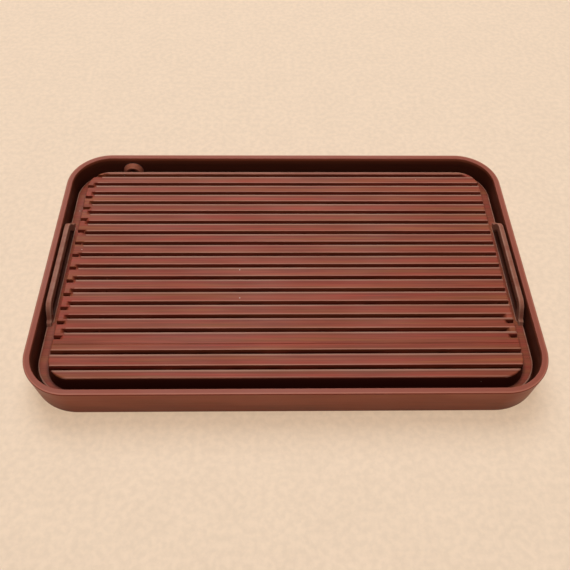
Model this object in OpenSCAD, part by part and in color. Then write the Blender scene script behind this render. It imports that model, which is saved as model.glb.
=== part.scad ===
// Tea tray for serving tea: a moulded basin, a slatted panel that lifts out, and a drain outlet
// Millimetres, +Z up, X along the slats, Y from front to rear, origin under the middle of the tray

/* [Basin] */
// Length of the basin over its rim, left to right
tray_w = 430; // [400:1:460]
// Depth of the basin over its rim, front to rear
tray_d = 277; // [262:1:310]
// Height of the basin from its base to its rim
basin_h = 31; // [30:0.5:40]
// Outer corner radius of the rim
corner_r = 40; // [34:1:46]
// Width of the flat rim, which is the thickness of the wall
wall_t = 5.3; // [4:0.1:7]
// Thickness of the floor
floor_t = 4.5; // [3:0.1:6]
// How far the base stands inside the rim on each side
wall_draft = 0.5; // [0:0.1:1.5]
// How much rounder the corners are at the base than at the rim
base_corner_extra = 4.5; // [0:0.5:8]
// Rounding where the outside wall turns under the base
base_round = 2; // [1:0.1:3]
// Rounding on both edges of the rim
rim_round = 0.6; // [0.3:0.1:1]
// Width of the ring that is left round the hollow under the base
base_ring = 16; // [10:1:24]
// Depth of the hollow under the base
base_hollow = 1; // [0.5:0.1:1.5]

/* [Drain panel] */
// How far the top of the slats lies below the rim
deck_drop = 6; // [4:0.5:8]
// Height from the flange up to the top of the slats
skirt_h = 10; // [8:0.5:11]
// Thickness of the slats
slat_t = 6; // [4:0.5:7]
// Thickness of the flange
flange_t = 4; // [3:0.1:5]
// Gap between the flange and the wall of the basin
panel_gap = 2.2; // [1:0.1:4]
// Corner radius of the flange
flange_r = 36; // [32:1:42]
// Width of the flange at the left and right
flange_side = 10; // [8:0.5:14]
// Width of the flange at the front and rear
flange_end = 6.5; // [5:0.5:10]
// How far the skirt leans out at the left and right
lean_side = 1.5; // [0:0.1:3]
// How far the skirt leans out at the front and rear
lean_end = 4.5; // [2:0.1:6]
// Corner radius of the slatted top
deck_r = 20; // [15:1:26]
// Thickness of the skirt
skirt_t = 3; // [2.5:0.1:3.2]

/* [Grooves] */
// Width of the drain grooves
groove_w = 4; // [3:0.1:5]
// Distance from the rear edge of the slats to the middle of the first groove
first_groove = 5.4; // [5:0.1:8]
// Distance between the first two grooves
groove_pitch = 12.57; // [11:0.01:12.6]
// How much wider each slat is than the one behind it
pitch_step = 0.136; // [0:0.001:0.14]
// Least width of slat between the score line and the groove behind it
slat_min = 8; // [6:0.5:10]
// Distance from the end of the slats to where a groove has its full depth
groove_inset = 9.5; // [8:0.5:14]
// Length of the sloping end of a groove
groove_ramp = 5; // [2:0.5:7]
// Distance from the front edge of the slats to the middle of the front groove
front_groove = 9.6; // [8:0.1:11]
// Distance between the two long front grooves
front_pitch = 15; // [13:0.1:15]
// Number of long front grooves
front_grooves = 2; // [1:1:2]
// Distance from the rearmost long front groove to the shallow score line behind it
score_offset = 7.8; // [6:0.1:9]
// Depth of the score line
score_depth = 0.4; // [0.2:0.1:1]
// Width of the score line
score_w = 0.8; // [0.4:0.1:1.5]

/* [End notches] */
// Width of the notches along both ends
notch_w = 3.6; // [2:0.1:4]
// Distance between the notches
notch_pitch = 14.95; // [14:0.05:16]
// Depth of a notch at its open end
notch_depth = 5; // [2:0.5:6]
// Length of the level part of a notch
notch_flat = 2.5; // [1:0.5:4]
// Whole length of a notch
notch_len = 8.5; // [5:0.5:9]
// Notches at the right end, in front of the grooves that run out there
right_notches = 2; // [0:1:4]

/* [Underside of the panel] */
// Thickness of the cross ribs
rib_t = 4; // [3:0.1:5]
// Number of cross ribs
rib_count = 3; // [1:1:5]
// Distance between the cross ribs
rib_pitch = 98; // [60:1:98]

/* [Handles] */
// Length of each handle over the feet of its legs
handle_len = 124; // [100:1:140]
// How far the middle of the handles lies in front of the middle of the tray
handle_shift = 2.5; // [-6:0.5:6]
// Angle of the sloping legs
handle_lean = 53; // [45:1:75]
// Thickness of the handle strap
handle_t = 4.5; // [3:0.1:5]
// Height of the strap
strap_h = 7; // [5:0.5:9]
// Width of each handle leg, measured square to its slope
leg_w = 7; // [6:0.5:10]
// How far the top of the handle lies below the rim
handle_drop = 1; // [0.5:0.1:3]
// Outer corner radius of the handle
handle_r = 12; // [10:1:15]

/* [Drain outlet] */
// Distance from the left side of the rim to the outlet
outlet_inset = 59.5; // [56:0.5:90]
// Height of the outlet above the base
outlet_h = 15.5; // [14.5:0.1:18]
// Radius of the threaded barrel through the wall
barrel_r = 6; // [5:0.1:6.5]
// Radius of the bore through the outlet
bore_r = 3.8; // [2.5:0.1:4]
// Clearance between the barrel and the wall
barrel_gap = 0.2; // [0.1:0.05:0.4]
// Clearance between the barrel and its nut
thread_gap = 0.1; // [0.05:0.01:0.2]
// Radius of the hose tail
tail_r = 5; // [4.5:0.1:5.5]
// Length of the hose tail
tail_len = 7.5; // [6:0.5:30]
// Chamfer on the free end of the hose tail
tail_chamfer = 0.5; // [0.2:0.1:1]
// Radius of the outer collar
collar_r = 9; // [8:0.1:10]
// Thickness of the outer collar
collar_t = 2; // [1.5:0.1:3]
// Thickness of the outer seal
outer_seal_t = 1.5; // [1:0.1:2]
// Thickness of the inner seal
inner_seal_t = 1.2; // [0.8:0.1:1.5]
// Radius of the ring nut where it meets the inner seal
nut_r = 10.2; // [9:0.1:10.5]
// Radius of the ring nut at its free end
nut_tip_r = 8; // [7.5:0.1:9]
// Length of the ring nut
nut_len = 5; // [4:0.1:5.5]
// How far the barrel ends inside the mouth of the nut
barrel_recess = 1.5; // [0.5:0.1:2]
// Radius of the flat pad on the outside of the wall
pad_r = 10.5; // [10:0.1:12]
// Clearance between the panel and the ring nut
nut_gap = 1.8; // [1:0.1:3]

/* [Feet and posts] */
// Radius of the rubber feet
foot_r = 9; // [6:0.5:12]
// How far the feet stand out below the base
foot_out = 1; // [0.8:0.1:3]
// Depth of the pocket that holds each foot
foot_pocket = 1; // [0.5:0.1:1.2]
// Clearance round each foot in its pocket
foot_gap = 0.2; // [0.1:0.05:0.4]
// Distance from the rim to the middle of a foot, in both directions
foot_inset = 44; // [38:1:60]
// Radius of the posts that carry the panel
post_r = 3; // [2:0.1:3.2]
// Number of posts along the front and along the rear
post_count = 5; // [3:2:7]
// Distance between the posts along the front and along the rear
post_pitch = 60; // [40:1:66]
// Distance from the middle of the tray to the posts at the left and right ends
side_post_y = 84; // [76:1:90]

/* [Hidden] */
$fn = 64;
// Overlap that lets a cut pass cleanly through a face
cut = 1;

base_z = foot_out;
rim_z = base_z + basin_h;
floor_z = base_z + floor_t;
deck_z = rim_z - deck_drop;
flange_z = deck_z - skirt_h;
panel_z = flange_z - flange_t;
slat_under_z = deck_z - slat_t;

inner_w = tray_w - 2*wall_t;
inner_d = tray_d - 2*wall_t;
inner_r = corner_r - wall_t;
flange_w = inner_w - 2*panel_gap;
flange_d = inner_d - 2*panel_gap;
skirt_w = flange_w - 2*flange_side;
skirt_d = flange_d - 2*flange_end;
skirt_r = deck_r + lean_side;
deck_w = skirt_w - 2*lean_side;
deck_d = skirt_d - 2*lean_end;
hollow_w = deck_w - 2*skirt_t;
hollow_d = deck_d - 2*skirt_t;
hollow_r = deck_r - skirt_t;

// Middle of each groove, from the rear edge of the slats towards the front
function groove_y(i) = deck_d/2 - first_groove - groove_pitch*i - pitch_step*i*(i - 1)/2;
front_y = [for (i = [0:front_grooves - 1]) -deck_d/2 + front_groove + front_pitch*i];
score_y = front_y[front_grooves - 1] + score_offset;
field_y = [for (i = [0:ceil(deck_d/groove_pitch)])
    if (groove_y(i) - groove_w/2 > score_y + slat_min) groove_y(i)];
notch_count = floor((deck_d - front_groove - first_groove)/notch_pitch) - front_grooves + 1;
notch_y = [for (i = [0:notch_count - 1]) front_y[front_grooves - 1] + notch_pitch*(i + 1)];
right_notch_y = [for (i = [0:1:right_notches - 1]) notch_y[i]];
// Grooves between these two lines run out through the right end
open_front_y = front_y[front_grooves - 1] + notch_pitch*(right_notches + 0.5) + notch_w;
open_rear_y = deck_d/2 - deck_r/2;

handle_x = flange_w/2 - handle_t;
handle_top = rim_z - handle_drop;
window_r = handle_r - leg_w;
leg_foot = leg_w/sin(handle_lean);
// Half the length of the gap in the flange under each handle, up to the middle of its feet
gap_half = handle_len/2 - leg_foot/2;

outlet_x = -tray_w/2 + outlet_inset;
outlet_z = base_z + outlet_h;
wall_out_y = tray_d/2;
wall_in_y = tray_d/2 - wall_t;
nut_root_y = wall_in_y - inner_seal_t;
nut_tip_y = nut_root_y - nut_len;
collar_y = wall_out_y + outer_seal_t;
tail_y = collar_y + collar_t;
tail_end_y = tail_y + tail_len;
// The outlet stands out behind the rim, so the tray moves forward by half of that
shift_y = -(tail_end_y - wall_out_y)/2;

foot_x = tray_w/2 - foot_inset;
foot_y = tray_d/2 - foot_inset;
hollow_z = base_z + base_hollow;
foot_top_z = hollow_z + foot_pocket;
post_y = (skirt_d + flange_d)/4;
post_x = (skirt_w + flange_w)/4;

resin = "#8c4a3c";
resin_dark = "#7a3f33";
rubber = "#2b2422";
seal = "#3a302c";

module rounded(w, d, r) {
    square([w - 2*r, d], center = true);
    square([w, d - 2*r], center = true);
    for (sx = [-1, 1], sy = [-1, 1])
        translate([sx*(w/2 - r), sy*(d/2 - r)]) circle(r);
}

module slab(w, d, r, z0, z1) {
    translate([0, 0, z0]) linear_extrude(z1 - z0) rounded(w, d, r);
}

// A round piece on the axis of the outlet, from y0 back to y1
module on_outlet(r0, r1, y0, y1) {
    translate([outlet_x, y0, outlet_z]) rotate([-90, 0, 0]) cylinder(h = y1 - y0, r1 = r0, r2 = r1);
}

// Outside of the basin: rounded under the base, drafted up to the rim, eased at the rim
module basin_outside() {
    lip = rim_round/2;
    rows = [[base_z, wall_draft + 0.7*base_round, base_corner_extra],
            [base_z + 0.4*base_round, wall_draft + 0.2*base_round, base_corner_extra],
            [base_z + base_round, wall_draft, base_corner_extra],
            [rim_z - 2*rim_round - lip, 0, 0],
            [rim_z - lip, rim_round, 0]];
    hull() {
        for (row = rows)
            slab(tray_w - 2*row[1], tray_d - 2*row[1], corner_r - row[1] + row[2], row[0], row[0] + lip);
    }
}

module basin_inside() {
    slab(inner_w, inner_d, inner_r, floor_z, rim_z + cut);
    hull() {
        slab(inner_w, inner_d, inner_r, rim_z - 2*rim_round, rim_z - rim_round);
        slab(inner_w + 2*rim_round, inner_d + 2*rim_round, inner_r + rim_round, rim_z, rim_z + cut);
    }
}

module foot_places() {
    for (sx = [-1, 1], sy = [-1, 1])
        translate([sx*foot_x, sy*foot_y, 0]) children();
}

module post_places() {
    for (i = [0:post_count - 1], sy = [-1, 1])
        translate([(i - (post_count - 1)/2)*post_pitch, sy*post_y, 0]) children();
    for (sx = [-1, 1], sy = [-1, 1])
        translate([sx*post_x, sy*side_post_y, 0]) children();
}

module basin() {
    color(resin) translate([0, shift_y, 0]) difference() {
        union() {
            difference() {
                union() {
                    basin_outside();
                    on_outlet(pad_r, pad_r, wall_in_y + cut, wall_out_y);
                }
                basin_inside();
                slab(tray_w - 2*base_ring, tray_d - 2*base_ring, corner_r - base_ring + base_corner_extra,
                     base_z - cut, hollow_z);
            }
            post_places() translate([0, 0, floor_z - cut]) cylinder(h = panel_z - floor_z + cut, r = post_r);
        }
        on_outlet(barrel_r + barrel_gap, barrel_r + barrel_gap, wall_in_y - cut, wall_out_y + cut);
        foot_places() translate([0, 0, base_z - cut])
            cylinder(h = foot_top_z - base_z + cut, r = foot_r + foot_gap);
    }
}

// A groove cut through the slats that slopes up to the surface at its ends, or runs out at the right end
module field_groove(y) {
    reach = deck_w/2 - groove_inset;
    ramp_x = reach + groove_ramp;
    end_x = skirt_w/2 + cut;
    deep = slat_t + cut;
    open = y > open_front_y && y < open_rear_y;
    right = open ? [[reach, -notch_depth], [end_x, -notch_depth], [end_x, cut]] : [[ramp_x, 0], [ramp_x, cut]];
    translate([0, y + groove_w/2, deck_z]) rotate([90, 0, 0]) linear_extrude(groove_w)
        polygon(concat([[-ramp_x, cut], [-ramp_x, 0], [-reach, -deep], [reach, -deep]], right));
}

// A notch that is open at the left end of the slats and rises inwards to the surface
module end_notch(y) {
    end_x = deck_w/2;
    translate([0, y + notch_w/2, deck_z]) rotate([90, 0, 0]) linear_extrude(notch_w)
        polygon([[-end_x - lean_side - cut, -notch_depth], [-end_x + notch_flat, -notch_depth],
                 [-end_x + notch_len, 0], [-end_x + notch_len, cut], [-end_x - lean_side - cut, cut]]);
}

// A groove that runs out through both ends of the slats, cut through between them
module long_groove(y) {
    reach = deck_w/2 - groove_inset;
    end_x = skirt_w/2 + cut;
    deep = slat_t + cut;
    translate([0, y + groove_w/2, deck_z]) rotate([90, 0, 0]) linear_extrude(groove_w)
        polygon([[-end_x, -notch_depth], [-reach, -notch_depth], [-reach, -deep], [reach, -deep],
                 [reach, -notch_depth], [end_x, -notch_depth], [end_x, cut], [-end_x, cut]]);
}

module score_line() {
    translate([-skirt_w/2 - cut, score_y - score_w/2, deck_z - score_depth])
        cube([skirt_w + 2*cut, score_w, score_depth + cut]);
}

module panel_body() {
    hull() {
        slab(skirt_w, skirt_d, skirt_r, flange_z - rim_round, flange_z);
        slab(deck_w, deck_d, deck_r, deck_z - rim_round, deck_z);
    }
    slab(skirt_w, skirt_d, skirt_r, panel_z, flange_z);
    difference() {
        slab(flange_w, flange_d, flange_r, panel_z, flange_z);
        for (sx = [-1, 1])
            translate([sx*(handle_x + handle_t), -handle_shift, panel_z + flange_t/2])
                cube([2*handle_t, 2*gap_half, flange_t + 2*cut], center = true);
    }
}

module panel_ribs() {
    for (i = [0:rib_count - 1])
        translate([(i - (rib_count - 1)/2)*rib_pitch - rib_t/2, -hollow_d/2 - cut, panel_z])
            cube([rib_t, hollow_d + 2*cut, slat_under_z - panel_z]);
}

// Outline of a handle seen from the side, w long at its foot and h high, with sloping legs:
// a round corner of radius r touches the slope and the top
module bail(w, h, r) {
    corner_x = w/2 - (r + (h - r)*cos(handle_lean))/sin(handle_lean);
    slope_x = corner_x + r*sin(handle_lean);
    slope_y = h - r + r*cos(handle_lean);
    intersection() {
        translate([-w/2, 0]) square([w, h]);
        union() {
            polygon([[-w/2, 0], [w/2, 0], [slope_x, slope_y], [corner_x, h], [-corner_x, h], [-slope_x, slope_y]]);
            for (sx = [-1, 1]) translate([sx*corner_x, h - r]) circle(r);
        }
    }
}

module handle() {
    top = handle_top - panel_z;
    translate([handle_x, -handle_shift, panel_z]) rotate([90, 0, 90]) linear_extrude(handle_t) difference() {
        bail(handle_len, top, handle_r);
        bail(handle_len - 2*leg_foot, top - strap_h, window_r);
        translate([0, -cut/2]) square([handle_len - 2*leg_foot, cut], center = true);
    }
}

module drain_panel() {
    color(resin) translate([0, shift_y, 0]) {
        difference() {
            panel_body();
            slab(hollow_w, hollow_d, hollow_r, panel_z - cut, slat_under_z);
            for (y = field_y) field_groove(y);
            for (y = front_y) long_groove(y);
            for (y = notch_y) end_notch(y);
            for (y = right_notch_y) mirror([1, 0, 0]) end_notch(y);
            score_line();
            translate([outlet_x - nut_r - nut_gap, nut_tip_y - nut_gap, panel_z - cut])
                cube([2*(nut_r + nut_gap), tray_d, flange_t + 2*cut]);
        }
        panel_ribs();
        for (m = [0, 1]) mirror([m, 0, 0]) handle();
    }
}

module drain_spigot() {
    color(resin_dark) translate([0, shift_y, 0]) difference() {
        union() {
            on_outlet(barrel_r, barrel_r, nut_tip_y + barrel_recess, collar_y + cut);
            on_outlet(collar_r, collar_r, collar_y, tail_y);
            on_outlet(tail_r, tail_r, tail_y - cut, tail_end_y - tail_chamfer);
            on_outlet(tail_r, tail_r - tail_chamfer, tail_end_y - tail_chamfer, tail_end_y);
        }
        on_outlet(bore_r, bore_r, nut_tip_y - cut, tail_end_y + cut);
    }
}

module ring_nut() {
    color(resin) translate([0, shift_y, 0]) difference() {
        on_outlet(nut_tip_r, nut_r, nut_tip_y, nut_root_y);
        on_outlet(barrel_r + thread_gap, barrel_r + thread_gap, nut_tip_y - cut, nut_root_y + cut);
    }
}

module seal_ring(r, y0, y1) {
    color(seal) translate([0, shift_y, 0]) difference() {
        on_outlet(r, r, y0, y1);
        on_outlet(barrel_r + thread_gap, barrel_r + thread_gap, y0 - cut, y1 + cut);
    }
}

module inner_seal() {
    seal_ring(nut_r, nut_root_y, wall_in_y);
}

module outer_seal() {
    seal_ring(collar_r, wall_out_y, collar_y);
}

module foot(sx, sy) {
    color(rubber) translate([sx*foot_x, sy*foot_y + shift_y, 0]) cylinder(h = foot_top_z, r = foot_r);
}

basin();
drain_panel();
drain_spigot();
ring_nut();
inner_seal();
outer_seal();
foot(-1, -1);  // foot_front_left
foot(1, -1);  // foot_front_right
foot(-1, 1);  // foot_rear_left
foot(1, 1);  // foot_rear_right
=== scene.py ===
"""Slatted tea tray: its surfaces, finishes and a plain studio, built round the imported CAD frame.

Lengths are in metres in the frame of the CAD model: X along the slats, Y to the rear, Z up.
"""

import math

import bmesh
import bpy
import numpy as np
from bpy.props import FloatProperty, FloatVectorProperty, IntProperty, PointerProperty
from mathutils import Matrix, Vector


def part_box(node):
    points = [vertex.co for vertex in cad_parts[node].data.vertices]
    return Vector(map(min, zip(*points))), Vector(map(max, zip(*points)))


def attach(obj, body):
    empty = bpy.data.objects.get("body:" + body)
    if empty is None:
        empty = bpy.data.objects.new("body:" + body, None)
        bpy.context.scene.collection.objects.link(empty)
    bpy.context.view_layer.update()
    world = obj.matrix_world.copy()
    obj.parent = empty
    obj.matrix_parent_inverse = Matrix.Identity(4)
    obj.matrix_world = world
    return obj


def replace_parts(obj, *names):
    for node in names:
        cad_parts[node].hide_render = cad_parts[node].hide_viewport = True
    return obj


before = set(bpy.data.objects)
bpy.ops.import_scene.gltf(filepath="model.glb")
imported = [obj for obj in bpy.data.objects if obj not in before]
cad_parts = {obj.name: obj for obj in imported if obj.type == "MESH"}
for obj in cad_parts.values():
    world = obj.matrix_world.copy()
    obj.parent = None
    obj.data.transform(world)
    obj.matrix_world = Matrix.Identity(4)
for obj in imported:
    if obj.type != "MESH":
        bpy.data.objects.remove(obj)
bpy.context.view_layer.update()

bl_info = {
    "name": "Slatted tea tray",
    "version": (1, 0, 0),
    "blender": (4, 5, 0),
    "location": "View3D > Sidebar > Tea tray",
    "description": "Builds a moulded tea tray with a lift-out slatted panel, its finishes and a plain studio",
    "category": "Object",
}


def node_box(name):
    """Lowest corner, highest corner and centre of a CAD node, as arrays."""
    low, high = (np.array(corner, dtype=float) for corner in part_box(name))
    return low, high, (low + high) / 2


BASIN_LOW, BASIN_HIGH, BASIN_MID = node_box("basin")
PANEL_LOW, PANEL_HIGH, PANEL_MID = node_box("drain_panel")
NUT_LOW, NUT_HIGH, NUT_MID = node_box("ring_nut")
SPIGOT_LOW, SPIGOT_HIGH, SPIGOT_MID = node_box("drain_spigot")


def length(label, text, value):
    """A length property in metres with a plain name and description."""
    return FloatProperty(name=label, description=text, default=value, min=0.0, unit="LENGTH", precision=5)


def colour(label, text, value):
    """A colour property; value is linear red, green and blue."""
    return FloatVectorProperty(name=label, description=text, default=value, size=3, min=0.0, max=1.0,
                               subtype="COLOR")


def srgb(red, green, blue):
    """Linear colour of an sRGB colour that is given from 0 to 255."""
    value = np.array([red, green, blue]) / 255
    linear = np.where(value <= 0.04045, value / 12.92, ((value + 0.055) / 1.055) ** 2.4)
    return tuple(float(part) for part in linear)


class BasinSizes(bpy.types.PropertyGroup):
    """Sizes of the outer basin that the CAD box doesn't give."""

    rim_width: length("Rim width", "Width of the flat rim and thickness of the wall", 0.0053)
    corner_radius: length("Corner radius", "Outer radius of the rim at the corners", 0.040)
    corner_extra: length("Base corner extra", "How much rounder the corners are at the base", 0.0045)
    draft: length("Draft", "How far the base stands inside the rim", 0.0005)
    base_round: length("Base rounding", "Rounding where the wall turns under the base", 0.002)
    rim_round: length("Rim rounding", "Rounding on both edges of the rim", 0.0007)
    floor_thickness: length("Floor thickness", "Thickness of the floor", 0.0045)
    floor_fillet: length("Floor fillet", "Rounding between the inside wall and the floor", 0.0025)
    base_ring: length("Base ring", "Width of the ring round the hollow under the base", 0.016)
    base_hollow: length("Base hollow", "Depth of the hollow under the base", 0.001)
    pad_radius: length("Pad radius", "Radius of the flat pad outside the wall at the outlet", 0.0105)
    # Inside the basin, below this depth, the colour is painted shade.
    shade_line: length("Shade line", "Depth below the rim where the inside is dark with painted shade", 0.004)
    post_radius: length("Post radius", "Radius of the posts that carry the panel", 0.003)
    post_pitch: length("Post pitch", "Distance between the posts along the front and rear", 0.060)
    post_count: IntProperty(name="Posts", description="Posts along the front and along the rear", default=5, min=1)
    side_post: length("Side post", "Distance from the middle to the posts at both ends", 0.084)


class PanelSizes(bpy.types.PropertyGroup):
    """Sizes of the slatted panel."""

    drop: length("Drop", "How far the slats lie below the rim", 0.006)
    skirt_height: length("Skirt height", "Height from the flange to the top of the slats", 0.010)
    slat_thickness: length("Slat thickness", "Thickness of the slats", 0.006)
    deck_half_x: length("Half length", "Half the length of the slatted top", 0.196)
    deck_half_y: length("Half depth", "Half the depth of the slatted top", 0.120)
    deck_radius: length("Corner radius", "Corner radius of the slatted top", 0.020)
    lean_side: length("Side lean", "How far the skirt leans out at the left and right", 0.0015)
    lean_end: length("End lean", "How far the skirt leans out at the front and rear", 0.0045)
    flange_radius: length("Flange radius", "Corner radius of the flange", 0.036)
    skirt_thickness: length("Skirt thickness", "Thickness of the skirt", 0.003)
    edge_round: length("Edge rounding", "Rounding round the slatted top", 0.0009)
    slat_round: length("Slat rounding", "Rounding on the edges of the slats", 0.0003)
    wall_draft: length("Groove draft", "How much narrower a groove is at its bottom, on each side", 0.0002)
    flange_round: length("Flange rounding", "Rounding on the edge of the flange", 0.0010)
    rib_thickness: length("Rib thickness", "Thickness of the ribs under the slats", 0.004)
    rib_pitch: length("Rib pitch", "Distance between the ribs", 0.098)
    rib_count: IntProperty(name="Ribs", description="Ribs under the slats", default=3, min=1)


class GrooveSizes(bpy.types.PropertyGroup):
    """Sizes of the grooves, the end notches and the score line."""

    width: length("Width", "Width of the drain grooves", 0.0040)
    first: length("First groove", "From the rear edge of the slats to the first groove", 0.0054)
    pitch: length("Pitch", "Distance between the first two grooves", 0.01257)
    pitch_step: length("Pitch step", "How much wider each slat is than the one behind it", 0.000136)
    count: IntProperty(name="Grooves", description="Grooves in the main field", default=15, min=1)
    inset: length("Inset", "From the end of the slats to the full depth of a groove", 0.0095)
    ramp: length("Ramp", "Length of the sloping end of a groove", 0.0050)
    front: length("Front groove", "From the front edge of the slats to the front groove", 0.0096)
    front_pitch: length("Front pitch", "Distance between the long front grooves", 0.015)
    front_count: IntProperty(name="Long grooves", description="Long grooves at the front", default=2, min=1)
    notch_width: length("Notch width", "Width of the notches along both ends", 0.0036)
    notch_pitch: length("Notch pitch", "Distance between the notches", 0.01495)
    notch_depth: length("Notch depth", "Depth of a notch at its open end", 0.005)
    notch_flat: length("Notch flat", "Length of the level part of a notch", 0.0025)
    notch_length: length("Notch length", "Whole length of a notch", 0.0085)
    right_notches: IntProperty(name="Right notches", description="Notches at the right end, in front of the "
                               "grooves that run out there", default=2, min=0)
    score_offset: length("Score offset", "From the rearmost long groove to the score line", 0.0078)
    score_width: length("Score width", "Width of the score line", 0.0008)
    score_depth: length("Score depth", "Depth of the score line", 0.0004)


class HandleSizes(bpy.types.PropertyGroup):
    """Sizes of the two handles."""

    span: length("Length", "Length of a handle over the feet of its legs", 0.124)
    shift: length("Shift", "How far the middle of the handles lies in front of the tray's middle", 0.0025)
    lean: FloatProperty(name="Leg angle", description="Angle of the sloping legs", default=math.radians(53),
                        subtype="ANGLE")
    thickness: length("Thickness", "Thickness of the strap, left to right", 0.0045)
    strap: length("Strap height", "Height of the strap", 0.007)
    leg: length("Leg width", "Width of a leg, measured square to its slope", 0.007)
    radius: length("Corner radius", "Outer corner radius of a handle", 0.012)
    edge: length("Edge rounding", "Rounding along the edges of the strap", 0.0011)
    flange: length("Flange", "Thickness of the flange that the legs stand in", 0.004)
    flare: length("Foot flare", "Rounding where the outside of a leg meets the flange", 0.0015)


class OutletSizes(bpy.types.PropertyGroup):
    """Sizes of the drain outlet."""

    bore: length("Bore", "Radius of the bore", 0.0038)
    barrel: length("Barrel", "Radius of the barrel", 0.0060)
    tail: length("Tail", "Radius of the hose tail", 0.0050)
    collar: length("Collar", "Thickness of the outer collar", 0.002)
    seal: length("Outer seal", "Thickness of the outer seal", 0.0015)
    gap: length("Clearance", "Clearance between the panel and the nut", 0.0018)


class FinishColours(bpy.types.PropertyGroup):
    """Colours of the finishes."""

    resin: colour("Resin", "Main colour of the basin", srgb(150, 83, 61))
    resin_red: colour("Red streak", "Colour of the redder streaks", srgb(150, 63, 48))
    resin_brown: colour("Brown streak", "Colour of the browner streaks", srgb(142, 80, 50))
    panel: colour("Panel", "Main colour of the slatted panel", srgb(141, 68, 49))
    # Painted highlights: light lines put along the rounded edges of the slats, where the edges catch the lamps.
    rear_edge_highlight: colour("Rear edge highlight", "Colour of the rubbed rear edges of the slats", srgb(176, 130, 110))
    front_edge_highlight: colour("Front edge highlight", "Colour of the rubbed front edges of the slats", srgb(182, 122, 102))
    # Partly the fittings' own colour and partly painted light: lighter than the resin, to stand in for light that the
    # nut in its hollow doesn't get.
    fitting_lightened: colour("Fitting", "Main colour of the outlet's ring nut and spigot", srgb(184, 108, 84))
    # Painted light on the rim: a lighter top where the light falls, a painted highlight line and a line of painted
    # shade on the outer edge.
    rim_lit_top: colour("Rim", "Colour of the rim's flat top", srgb(151, 82, 66))
    rim_highlight: colour("Rim highlight", "Colour of the light line near the rim's outer edge", srgb(176, 108, 88))
    rim_edge_shade: colour("Rim edge shade", "Colour of the dark line on the rim's outer edge", srgb(120, 40, 24))
    # Painted shade: a near-black tone put in the grooves, on the inside walls, on the skirt and under the base, where
    # the shade falls.
    painted_shade: colour("Painted shade tone", "Colour of the painted shade in the grooves and inside the basin", srgb(54, 20, 13))
    rubber: colour("Rubber", "Colour of the feet", srgb(38, 33, 31))
    seal: colour("Seal", "Colour of the seals", srgb(58, 40, 34))
    floor: colour("Floor", "Colour of the floor paper", srgb(242, 229, 213))
    backdrop: colour("Backdrop", "Colour of the backdrop", srgb(240, 217, 190))
    floor_glow: colour("Floor glow", "Warm tone of the floor in the shade", srgb(245, 210, 175))


class StudioLook(bpy.types.PropertyGroup):
    """Camera and lamps."""

    camera_place: FloatVectorProperty(name="Camera", description="Where the camera stands", size=3,
                                      default=(-0.01131, -0.40719, 0.51465), subtype="TRANSLATION")
    yaw: FloatProperty(name="Yaw", description="Turn of the view to the right", default=0.027895, subtype="ANGLE")
    pitch: FloatProperty(name="Pitch", description="Tilt of the view below level", default=0.914635,
                         subtype="ANGLE")
    roll: FloatProperty(name="Roll", description="Roll of the camera", default=0.020098, subtype="ANGLE")
    lens: FloatProperty(name="Lens", description="Focal length in millimetres on a 36 mm frame", default=43.688)
    key_power: FloatProperty(name="Key", description="Power of the soft box behind and above", default=125.0,
                             unit="POWER")
    top_power: FloatProperty(name="Top", description="Power of the small lamp overhead", default=2.2, unit="POWER")
    back_power: FloatProperty(name="Back", description="Power of the low lamp behind", default=4.0, unit="POWER")
    fill_power: FloatProperty(name="Fill", description="Power of the soft box in front and above", default=16.0,
                              unit="POWER")
    front_power: FloatProperty(name="Front", description="Power of the low warm lamp in front", default=4.5,
                               unit="POWER")
    world: FloatProperty(name="World", description="Strength of the even light from all sides", default=0.03)
    floor_lift: FloatProperty(name="Floor lift", description="Share of the floor that shows at its own brightness",
                              default=0.58, min=0, max=1)


class TeaTraySettings(bpy.types.PropertyGroup):
    """All the sizes and colours of the tray."""

    basin: PointerProperty(type=BasinSizes)
    panel: PointerProperty(type=PanelSizes)
    groove: PointerProperty(type=GrooveSizes)
    handle: PointerProperty(type=HandleSizes)
    outlet: PointerProperty(type=OutletSizes)
    colours: PointerProperty(type=FinishColours)
    studio: PointerProperty(type=StudioLook)


# Surfaces


def quarter(steps):
    """Angles from 0 to a right angle."""
    return np.linspace(0, math.pi / 2, steps + 1)


def smooth_step(low, high, value):
    """0 below low, 1 above high, and 3 t squared minus 2 t cubed between them."""
    t = np.clip((value - low) / (high - low), 0, 1)
    return t * t * (3 - 2 * t)


def rounded_rings(insets, heights, extras, half_x, half_y, radius, steps=20):
    """Rings that follow a rounded rectangle, one for each inset d, height z and extra radius e.

    A point on a corner is the corner's centre plus R times (cos a, sin a), where R = radius - d + e
    and the centre is (half_x - d - R, half_y - d - R) with the signs of that corner.
    """
    turn = np.concatenate([corner * math.pi / 2 + quarter(steps) for corner in (-1, 0, 1, 2)])
    side_x = np.repeat([1, 1, -1, -1], steps + 1)
    side_y = np.repeat([-1, 1, 1, -1], steps + 1)
    inset, height, extra = (np.asarray(part, dtype=float)[:, None] for part in (insets, heights, extras))
    bend = radius - inset + extra
    x = side_x * (half_x - inset - bend) + bend * np.cos(turn)
    y = side_y * (half_y - inset - bend) + bend * np.sin(turn)
    return np.stack([x, y, np.broadcast_to(height, x.shape)], axis=-1)


def turned_rings(radii, heights, steps=48):
    """Rings round the Z axis: (r cos a, r sin a, h) for each radius r and height h."""
    turn = np.linspace(0, 2 * math.pi, steps, endpoint=False)
    radius, height = (np.asarray(part, dtype=float)[:, None] for part in (radii, heights))
    x = radius * np.cos(turn)
    return np.stack([x, radius * np.sin(turn), np.broadcast_to(height, x.shape)], axis=-1)


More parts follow.
